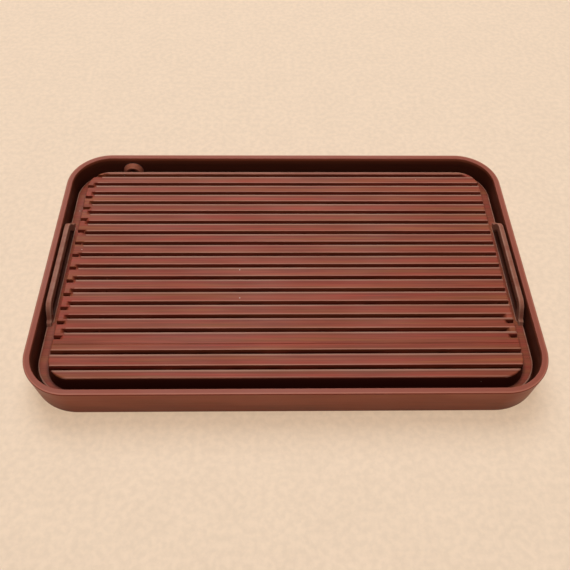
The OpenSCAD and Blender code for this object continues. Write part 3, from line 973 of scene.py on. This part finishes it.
def flow_group():
    """Moulding flow: long streaks of redder and browner resin along X over a fine mottle."""
    group = new_group("Moulding flow", [
        ("Base", "Color", (0.3, 0.1, 0.08, 1)), ("Red", "Color", (0.4, 0.1, 0.08, 1)),
        ("Brown", "Color", (0.3, 0.13, 0.08, 1)), ("Streak", "Float", 1.0)], [("Color", "Color")])
    source, sink = ends(group)
    place = new_node(group, "ShaderNodeTexCoord", (-900, -300)).outputs["Object"]
    wide = stretched_noise(group, place, (7, 230, 230), 1.0, 2.0, (-700, 200))
    fine = stretched_noise(group, place, (14, 900, 900), 1.0, 3.0, (-700, -100))
    mottle = stretched_noise(group, place, (16, 70, 70), 1.0, 3.0, (-700, -400))
    red = ranged(group, wide, 0.50, 0.68, 0.0, 0.8, (-250, 200))
    brown = ranged(group, wide, 0.32, 0.50, 0.8, 0.0, (-250, 0))
    red = mixed_value(group, red, source["Streak"], (-100, 250))
    brown = mixed_value(group, brown, source["Streak"], (-100, 50))
    tone = mixed(group, red, source["Base"], source["Red"], (50, 200))
    tone = mixed(group, brown, tone, source["Brown"], (200, 100))
    light = ranged(group, fine, 0.3, 0.7, 0.86, 1.14, (50, -150))
    cloud = ranged(group, mottle, 0.3, 0.7, 0.92, 1.08, (50, -350))
    light = mixed(group, source["Streak"], (1, 1, 1, 1), light, (250, -150))
    shade = mixed_value(group, light, cloud, (450, -250))
    tone = mixed(group, 1.0, tone, shade, (650, 0), "MULTIPLY")
    group.links.new(tone, sink["Color"])
    return group


def mixed_value(group, first, second, place):
    """Product of two values."""
    node = new_node(group, "ShaderNodeMath", place)
    node.operation = "MULTIPLY"
    group.links.new(first, node.inputs[0])
    group.links.new(second, node.inputs[1])
    return node.outputs[0]


def skin_group():
    """Moulded skin: roughness that drifts a little, and a height of fine lines along X and faint orange peel."""
    group = new_group("Moulded skin", [
        ("Roughness", "Float", 0.35), ("Lines", "Float", 1.0)], [("Roughness", "Float"), ("Height", "Float")])
    source, sink = ends(group)
    place = new_node(group, "ShaderNodeTexCoord", (-900, -300)).outputs["Object"]
    lines = stretched_noise(group, place, (14, 900, 900), 1.0, 2.0, (-700, 200))
    peel = stretched_noise(group, place, (420, 420, 420), 1.0, 2.0, (-700, -100))
    drift = stretched_noise(group, place, (16, 40, 40), 1.0, 3.0, (-700, -400))
    change = ranged(group, drift, 0.3, 0.7, 0.8, 1.2, (-200, -400))
    group.links.new(mixed_value(group, source["Roughness"], change, (0, -300)), sink["Roughness"])
    lined = mixed_value(group, lines, source["Lines"], (0, 200))
    total = new_node(group, "ShaderNodeMath", (200, 100))
    total.operation = "ADD"
    group.links.new(lined, total.inputs[0])
    group.links.new(peel, total.inputs[1])
    group.links.new(total.outputs[0], sink["Height"])
    return group


def edge_highlight_group():
    """Painted edge highlights: a painted highlight line along both edges of a slat, and a band of painted shade inside
    the rear line.

    Rear gap and Front gap are the distances from the groove behind and from the one in front.
    """
    group = new_group("Painted edge highlights", [
        ("Color", "Color", (0.3, 0.1, 0.08, 1)), ("Rear color", "Color", (0.5, 0.3, 0.2, 1)),
        ("Front color", "Color", (0.5, 0.2, 0.15, 1)), ("Rear gap", "Float", FAR), ("Front gap", "Float", FAR)],
        [("Color", "Color")])
    source, sink = ends(group)
    place = new_node(group, "ShaderNodeTexCoord", (-900, -300)).outputs["Object"]
    patchy = stretched_noise(group, place, (12, 160, 160), 1.0, 2.0, (-700, -300))
    highlight_patches = ranged(group, patchy, 0.3, 0.6, 0.55, 1.0, (-300, -300))
    rear = mixed_value(group, ranged(group, source["Rear gap"], 0.0008, 0.0024, 0.75, 0.0, (-500, 200)), highlight_patches,
                       (0, 200))
    front = mixed_value(group, ranged(group, source["Front gap"], 0.0005, 0.0016, 0.75, 0.0, (-500, 0)), highlight_patches,
                        (0, 0))
    shade_band = ranged(group, source["Rear gap"], 0.0022, 0.0046, 0.78, 1.0, (-200, 400))
    tone = mixed(group, 1.0, source["Color"], shade_band, (100, 400), "MULTIPLY")
    tone = mixed(group, rear, tone, source["Rear color"], (300, 200))
    tone = mixed(group, front, tone, source["Front color"], (500, 100))
    group.links.new(tone, sink["Color"])
    return group


def rim_light_group():
    """The rim's flat top in a lighter tone where the light falls on it, with a painted highlight line near its outer
    edge and a dark red line of painted shade on that edge.

    Gap is the distance in from the outer edge.
    """
    group = new_group("Rim", [
        ("Color", "Color", (0.3, 0.1, 0.08, 1)), ("Top color", "Color", (0.5, 0.2, 0.13, 1)),
        ("Line color", "Color", (0.6, 0.25, 0.15, 1)), ("Edge color", "Color", (0.2, 0.03, 0.02, 1)),
        ("Gap", "Float", -INSIDE)], [("Color", "Color")])
    source, sink = ends(group)
    inward = ranged(group, source["Gap"], 0.0002, 0.0006, 0.0, 1.0, (-500, 300))
    onward = ranged(group, source["Gap"], 0.0050, 0.0056, 1.0, 0.0, (-500, 100))
    top = mixed_value(group, inward, onward, (-250, 200))
    line = mixed_value(group, inward, ranged(group, source["Gap"], 0.0009, 0.0020, 0.9, 0.0, (-500, -100)), (-250, 0))
    edge = mixed_value(group, ranged(group, source["Gap"], -0.0012, -0.0002, 0.0, 0.85, (-500, -300)),
                       ranged(group, source["Gap"], 0.0001, 0.0005, 1.0, 0.0, (-500, -500)), (-250, -400))
    tone = mixed(group, top, source["Color"], source["Top color"], (100, 300))
    tone = mixed(group, line, tone, source["Line color"], (300, 200))
    tone = mixed(group, edge, tone, source["Edge color"], (500, 100))
    group.links.new(tone, sink["Color"])
    return group


def painted_shade_group():
    """Painted shade: the colour goes towards a near-black tone where the shade falls."""
    group = new_group("Painted shade tone", [
        ("Color", "Color", (0.3, 0.1, 0.08, 1)), ("Film color", "Color", (0.05, 0.01, 0.005, 1)),
        ("Shade amount", "Float", 0.0)], [("Color", "Color")])
    source, sink = ends(group)
    group.links.new(mixed(group, ranged(group, source["Shade amount"], 0.0, 1.5, 0.0, 1.0, (-300, 200)), source["Color"],
                          source["Film color"], (100, 100)), sink["Color"])
    return group


def dust_group():
    """Dust: a mask of a few tiny specks, from a cell pattern whose cells are mostly empty."""
    group = new_group("Dust specks", [("Amount", "Float", 1.0)], [("Mask", "Float")])
    source, sink = ends(group)
    place = new_node(group, "ShaderNodeTexCoord", (-900, 0)).outputs["Object"]
    cells = new_node(group, "ShaderNodeTexVoronoi", (-700, 0), Scale=75.0)
    group.links.new(place, cells.inputs["Vector"])
    spot = ranged(group, cells.outputs["Distance"], 0.03, 0.06, 0.6, 0.0, (-400, 100))
    pick = new_node(group, "ShaderNodeSeparateColor", (-400, -150))
    group.links.new(cells.outputs["Color"], pick.inputs["Color"])
    chosen = ranged(group, pick.outputs[0], 0.82, 0.86, 0.0, 1.0, (-200, -150))
    mask = mixed_value(group, mixed_value(group, spot, chosen, (0, 0)), source["Amount"], (200, 0))
    group.links.new(mask, sink["Mask"])
    return group


def node_group(name, maker):
    """The shared node group of that name, made once."""
    return bpy.data.node_groups.get(name) or maker()


def placed_group(tree, group, place, **values):
    """A group node in a material with its own input values."""
    node = tree.nodes.new("ShaderNodeGroup")
    node.node_tree = group
    node.location = place
    for key, value in values.items():
        node.inputs[key.replace("_", " ")].default_value = value
    return node


def opaque(value):
    """A colour with full alpha."""
    return tuple(value) + (1.0,)


def marked_tone(tree, tone, group, marks):
    """The tone changed by a group whose inputs follow the marks on the mesh, given as mark and socket."""
    tree.links.new(tone, group.inputs["Color"])
    for row, (label, socket) in enumerate(marks):
        mark = new_node(tree, "ShaderNodeAttribute", (group.location[0] - 300, group.location[1] - 200 * row))
        mark.attribute_name = label
        tree.links.new(mark.outputs["Fac"], group.inputs[socket])
    return group.outputs["Color"]


def resin_material(name, base, red, brown, streak, lines, roughness, dust=0.0, relief=0.00004, highlighted=None,
                   rim=None, painted_shade=None):
    """Semi-gloss moulded resin with flow streaks, a fine skin and a few specks of dust, and where asked painted edge
    highlights, the rim's painted light and painted shade.
    """
    material = bpy.data.materials.new(name)
    material.use_nodes = True
    tree = material.node_tree
    shader = tree.nodes["Principled BSDF"]
    flow = placed_group(tree, node_group("Moulding flow", flow_group), (-700, 200), Base=opaque(base),
                        Red=opaque(red), Brown=opaque(brown), Streak=streak)
    surface = placed_group(tree, node_group("Moulded skin", skin_group), (-700, -150), Roughness=roughness,
                           Lines=lines)
    specks = placed_group(tree, node_group("Dust specks", dust_group), (-700, -400), Amount=dust)
    tone = flow.outputs["Color"]
    # Painted highlight lines along the slat edges, with a band of painted shade inside the rear line.
    if highlighted:
        highlight_node = placed_group(tree, node_group("Painted edge highlights", edge_highlight_group), (-500, 500),
                           Rear_color=opaque(highlighted.rear_edge_highlight), Front_color=opaque(highlighted.front_edge_highlight))
        tone = marked_tone(tree, tone, highlight_node, (("rear_gap", "Rear gap"), ("front_gap", "Front gap")))
    # Painted light on the rim: lighter top, highlight line and a shade line on the outer edge.
    if rim:
        top = placed_group(tree, node_group("Rim", rim_light_group), (-500, 500), Top_color=opaque(rim.rim_lit_top),
                           Line_color=opaque(rim.rim_highlight), Edge_color=opaque(rim.rim_edge_shade))
        tone = marked_tone(tree, tone, top, (("rim_gap", "Gap"),))
    # Painted shade where the marks ask for it.
    if painted_shade:
        tea = placed_group(tree, node_group("Painted shade tone", painted_shade_group), (-300, 600), Film_color=opaque(painted_shade))
        tone = marked_tone(tree, tone, tea, (("painted_shade", "Shade amount"),))
    tone = mixed(tree, specks.outputs["Mask"], tone, (0.62, 0.5, 0.42, 1), (-300, 200))
    bump = new_node(tree, "ShaderNodeBump", (-300, -200), Strength=0.6, Distance=relief)
    tree.links.new(surface.outputs["Height"], bump.inputs["Height"])
    tree.links.new(tone, shader.inputs["Base Color"])
    tree.links.new(surface.outputs["Roughness"], shader.inputs["Roughness"])
    tree.links.new(bump.outputs["Normal"], shader.inputs["Normal"])
    shader.inputs["Specular IOR Level"].default_value = 0.09
    return material


def rubber_material(name, base):
    """Matt rubber with a fine grain."""
    material = bpy.data.materials.new(name)
    material.use_nodes = True
    tree = material.node_tree
    shader = tree.nodes["Principled BSDF"]
    surface = placed_group(tree, node_group("Moulded skin", skin_group), (-700, -150), Roughness=0.75, Lines=0.0)
    flow = placed_group(tree, node_group("Moulding flow", flow_group), (-700, 200), Base=opaque(base),
                        Red=opaque(base), Brown=opaque(base), Streak=0.0)
    bump = new_node(tree, "ShaderNodeBump", (-300, -200), Strength=0.8, Distance=0.00008)
    tree.links.new(surface.outputs["Height"], bump.inputs["Height"])
    tree.links.new(flow.outputs["Color"], shader.inputs["Base Color"])
    tree.links.new(surface.outputs["Roughness"], shader.inputs["Roughness"])
    tree.links.new(bump.outputs["Normal"], shader.inputs["Normal"])
    return material


def seen_plainly(tree, place):
    """1 for camera, glossy and transmission rays, and 0 for the light that falls on other surfaces."""
    ray = new_node(tree, "ShaderNodeLightPath", place)
    seen = ray.outputs["Is Camera Ray"]
    for column, label in enumerate(("Is Glossy Ray", "Is Transmission Ray"), start=1):
        either = new_node(tree, "ShaderNodeMath", (place[0] + 180 * column, place[1]))
        either.operation = "MAXIMUM"
        tree.links.new(seen, either.inputs[0])
        tree.links.new(ray.outputs[label], either.inputs[1])
        seen = either.outputs[0]
    return seen


def paper_material(name, base, glow, lift):
    """Pale paper for the floor: a soft mottle over the base colour.

    For the camera and in reflections, the share lift of it shows the tone glow at its own brightness,
    so that the background is even and the shadow stays soft and warm.
    """
    material = bpy.data.materials.new(name)
    material.use_nodes = True
    tree = material.node_tree
    shader = tree.nodes["Principled BSDF"]
    place = new_node(tree, "ShaderNodeTexCoord", (-1200, 0)).outputs["Object"]
    cloud = stretched_noise(tree, place, (28, 28, 28), 1.0, 4.0, (-1000, 200))
    grain = stretched_noise(tree, place, (190, 190, 190), 1.0, 5.0, (-1000, -100))
    soft = ranged(tree, cloud, 0.3, 0.7, 0.99, 1.01, (-500, 200))
    fine = ranged(tree, grain, 0.3, 0.7, 0.955, 1.035, (-500, -100))
    shade = mixed_value(tree, soft, fine, (-300, 50))
    tone = mixed(tree, 1.0, opaque(base), shade, (-150, 100), "MULTIPLY")
    tree.links.new(tone, shader.inputs["Base Color"])
    shader.inputs["Roughness"].default_value = 0.85
    shader.inputs["Specular IOR Level"].default_value = 0.1
    share = new_node(tree, "ShaderNodeMath", (80, 450))
    share.operation = "MULTIPLY"
    tree.links.new(seen_plainly(tree, (-500, 500)), share.inputs[0])
    share.inputs[1].default_value = lift
    plain_light = new_node(tree, "ShaderNodeEmission", (80, 250))
    warm = mixed(tree, 1.0, opaque(glow), shade, (-150, 300), "MULTIPLY")
    tree.links.new(warm, plain_light.inputs["Color"])
    blend = new_node(tree, "ShaderNodeMixShader", (350, 300))
    tree.links.new(share.outputs[0], blend.inputs["Fac"])
    tree.links.new(shader.outputs["BSDF"], blend.inputs[1])
    tree.links.new(plain_light.outputs["Emission"], blend.inputs[2])
    tree.links.new(blend.outputs["Shader"], tree.nodes["Material Output"].inputs["Surface"])
    return material


# Operators


def settings():
    """The tray's settings."""
    return bpy.context.scene.tea_tray


class TRAY_OT_basin(bpy.types.Operator):
    """Build the basin with its posts and the pad at the outlet"""

    bl_idname = "tea_tray.basin"
    bl_label = "Basin"

    def execute(self, context):
        tray = settings()
        look = tray.colours
        resin = resin_material("basin resin", look.resin, look.resin_red, look.resin_brown, 0.35, 0.3, 0.36,
                               rim=look, painted_shade=look.painted_shade)
        parts = [basin_surface(tray.basin), pad_surface(tray.basin)]
        parts += [post_surface(tray.basin, x, y) for x, y in post_places(tray.basin)]
        points, faces = joined(parts)
        marks = basin_marks(tray.basin, len(points))
        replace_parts(make_piece("basin_shell", points, faces, resin, "tray", marks), "basin")
        return {"FINISHED"}


class TRAY_OT_panel(bpy.types.Operator):
    """Build the slatted panel with its ribs"""

    bl_idname = "tea_tray.panel"
    bl_label = "Slatted panel"

    def execute(self, context):
        tray = settings()
        look = tray.colours
        panel = tray.panel
        slat_resin = resin_material("slat resin", look.panel, look.resin_red, look.resin_brown, 1.0, 1.0, 0.40, 1.0,
                                    highlighted=look, painted_shade=look.painted_shade)
        resin = resin_material("panel resin", look.panel, look.resin_red, look.resin_brown, 0.4, 0.5, 0.40)
        points, faces, marks = panel_surface(panel, tray.groove, tray.handle, tray.outlet)
        slats = make_piece("slatted_panel", points, faces, slat_resin, "panel", marks)
        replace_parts(slats, "drain_panel")
        reach = panel.deck_half_y - panel.skirt_thickness
        under = BASIN_HIGH[2] - panel.drop - panel.slat_thickness
        places = (np.arange(panel.rib_count) - (panel.rib_count - 1) / 2) * panel.rib_pitch
        bars = [bar_surface(x, panel.rib_thickness / 2, PANEL_MID[1] - reach, PANEL_MID[1] + reach,
                            PANEL_LOW[2], under - 0.00001, 0.0006) for x in places]
        points, faces = joined(bars)
        make_piece("panel_ribs", points, faces, resin, "panel")
        return {"FINISHED"}


class TRAY_OT_handles(bpy.types.Operator):
    """Build the two handles of the panel"""

    bl_idname = "tea_tray.handles"
    bl_label = "Handles"

    def execute(self, context):
        tray = settings()
        look = tray.colours
        resin = resin_material("handle resin", look.panel, look.resin_red, look.resin_brown, 0.3, 0.3, 0.30,
                               highlighted=look)
        for name, side in (("handle_left", -1), ("handle_right", 1)):
            points, faces, marks = handle_surface(tray.handle, side)
            make_piece(name, points, faces, resin, "panel", marks)
        return {"FINISHED"}


class TRAY_OT_outlet(bpy.types.Operator):
    """Build the drain outlet: spigot, ring nut and both seals"""

    bl_idname = "tea_tray.outlet"
    bl_label = "Drain outlet"

    def execute(self, context):
        tray = settings()
        look = tray.colours
        # The fittings' colour is lightened as painted light.
        resin = resin_material("fitting resin", look.fitting_lightened, look.resin_red, look.resin_brown, 0.2, 0.2, 0.30)
        rubber = rubber_material("seal rubber", look.seal)
        points, faces = nut_surface(tray.outlet)
        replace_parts(make_piece("outlet_nut", points, faces, resin, "tray"), "ring_nut")
        points, faces = spigot_surface(tray.outlet)
        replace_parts(make_piece("outlet_spigot", points, faces, resin, "tray"), "drain_spigot")
        for name in ("inner_seal", "outer_seal"):
            points, faces = seal_surface(name, tray.outlet.barrel + 0.0001)
            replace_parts(make_piece(name + "_ring", points, faces, rubber, "tray"), name)
        return {"FINISHED"}


class TRAY_OT_feet(bpy.types.Operator):
    """Build the four rubber feet"""

    bl_idname = "tea_tray.feet"
    bl_label = "Feet"

    def execute(self, context):
        rubber = rubber_material("foot rubber", settings().colours.rubber)
        for end in ("front_left", "front_right", "rear_left", "rear_right"):
            points, faces = foot_surface("foot_" + end)
            piece = make_piece("rubber_foot_" + end, points, faces, rubber, "tray")
            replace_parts(piece, "foot_" + end)
        return {"FINISHED"}


def soft_lamp(name, place, target, size_x, size_y, power, tint):
    """A rectangular area lamp that faces a point."""
    lamp = bpy.data.lights.new(name, "AREA")
    lamp.shape = "RECTANGLE"
    lamp.size = size_x
    lamp.size_y = size_y
    lamp.energy = power
    lamp.color = tint
    holder = bpy.data.objects.new(name, lamp)
    holder.location = place
    holder.rotation_euler = (Vector(target) - Vector(place)).to_track_quat("-Z", "Y").to_euler()
    bpy.context.collection.objects.link(holder)
    return holder


def studio_world(tone, strength):
    """A world that gives little light, but is seen and mirrored as a pale backdrop."""
    world = bpy.data.worlds.new("studio")
    world.use_nodes = True
    tree = world.node_tree
    backdrop = tree.nodes["Background"]
    backdrop.inputs["Color"].default_value = opaque(tone)
    level = ranged(tree, seen_plainly(tree, (-800, 0)), 0.0, 1.0, strength, 1.0, (-300, 0))
    tree.links.new(level, backdrop.inputs["Strength"])
    return world


class TRAY_OT_stage(bpy.types.Operator):
    """Set the floor, the lamps, the world and the camera"""

    bl_idname = "tea_tray.stage"
    bl_label = "Stage"

    def execute(self, context):
        tray = settings()
        studio = tray.studio
        reach = 3.0
        corners = np.array([[-reach, -reach, 0], [reach, -reach, 0], [reach, reach, 0], [-reach, reach, 0]])
        mesh = bpy.data.meshes.new("floor")
        mesh.from_pydata(corners.tolist(), [], [[0, 1, 2, 3]])
        mesh.materials.append(paper_material("floor paper", tray.colours.floor, tray.colours.floor_glow,
                                              studio.floor_lift))
        floor = bpy.data.objects.new("floor", mesh)
        context.collection.objects.link(floor)
        soft_lamp("key", (-0.29, 2.03, 3.28), (0, 0, 0), 2.7, 2.8, studio.key_power, (1.0, 1.0, 1.0))
        soft_lamp("top", (0.1, -0.1, 1.5), (0, 0, 0), 0.12, 0.12, studio.top_power, (1.0, 1.0, 1.0))
        soft_lamp("back", (0.0, 2.2, 0.45), (0, 0, 0), 2.4, 0.5, studio.back_power, (1.0, 1.0, 1.0))
        soft_lamp("fill", (0.0, -1.8, 2.4), (0, -0.2, 0), 2.0, 2.0, studio.fill_power, (1.0, 1.0, 1.0))
        soft_lamp("front", (0.0, -2.0, 0.2), (0, 0, 0), 2.0, 0.25, studio.front_power, (1.0, 0.82, 0.62))
        context.scene.world = studio_world(tray.colours.backdrop, studio.world)
        context.scene.view_settings.view_transform = "Standard"
        place_camera(context, studio)
        return {"FINISHED"}


def place_camera(context, studio):
    """The camera from its place, yaw, pitch and roll.

    It looks along (sin yaw cos pitch, cos yaw cos pitch, -sin pitch), and roll turns it about that line.
    """
    yaw, pitch, roll = studio.yaw, studio.pitch, studio.roll
    ahead = Vector((math.sin(yaw) * math.cos(pitch), math.cos(yaw) * math.cos(pitch), -math.sin(pitch)))
    right = Vector((math.cos(yaw), -math.sin(yaw), 0))
    up = right.cross(ahead)
    tilted_right = math.cos(roll) * right + math.sin(roll) * up
    tilted_up = math.cos(roll) * up - math.sin(roll) * right
    lens = bpy.data.cameras.new("camera")
    lens.sensor_fit = "HORIZONTAL"
    lens.sensor_width = 36
    lens.lens = studio.lens
    camera = bpy.data.objects.new("camera", lens)
    context.collection.objects.link(camera)
    turn = Matrix((tilted_right, tilted_up, -ahead)).transposed().to_4x4()
    camera.matrix_world = Matrix.Translation(Vector(studio.camera_place)) @ turn
    context.scene.camera = camera


class TRAY_PT_panel(bpy.types.Panel):
    """Sidebar panel that lists the tray's pieces and sizes"""

    bl_idname = "TRAY_PT_panel"
    bl_label = "Tea tray"
    bl_space_type = "VIEW_3D"
    bl_region_type = "UI"
    bl_category = "Tea tray"

    def draw(self, context):
        for operator in OPERATORS:
            self.layout.operator(operator.bl_idname)
        tray = context.scene.tea_tray
        for name in ("basin", "panel", "groove", "handle", "outlet", "colours", "studio"):
            box = self.layout.box()
            box.label(text=name.capitalize())
            part = getattr(tray, name)
            for key in part.bl_rna.properties.keys():
                if key not in ("rna_type", "name"):
                    box.prop(part, key)


GROUPS = (BasinSizes, PanelSizes, GrooveSizes, HandleSizes, OutletSizes, FinishColours, StudioLook, TeaTraySettings)
OPERATORS = (TRAY_OT_stage, TRAY_OT_basin, TRAY_OT_panel, TRAY_OT_handles, TRAY_OT_outlet, TRAY_OT_feet)


def register():
    """Register the classes and the scene's settings."""
    for item in GROUPS + OPERATORS + (TRAY_PT_panel,):
        bpy.utils.register_class(item)
    bpy.types.Scene.tea_tray = PointerProperty(type=TeaTraySettings)


def unregister():
    """Undo register."""
    del bpy.types.Scene.tea_tray
    for item in reversed(GROUPS + OPERATORS + (TRAY_PT_panel,)):
        bpy.utils.unregister_class(item)


def main():
    """Build the stage and every piece."""
    register()
    for operator in OPERATORS:
        group, name = operator.bl_idname.split(".")
        getattr(getattr(bpy.ops, group), name)()


if __name__ == "__main__":
    main()
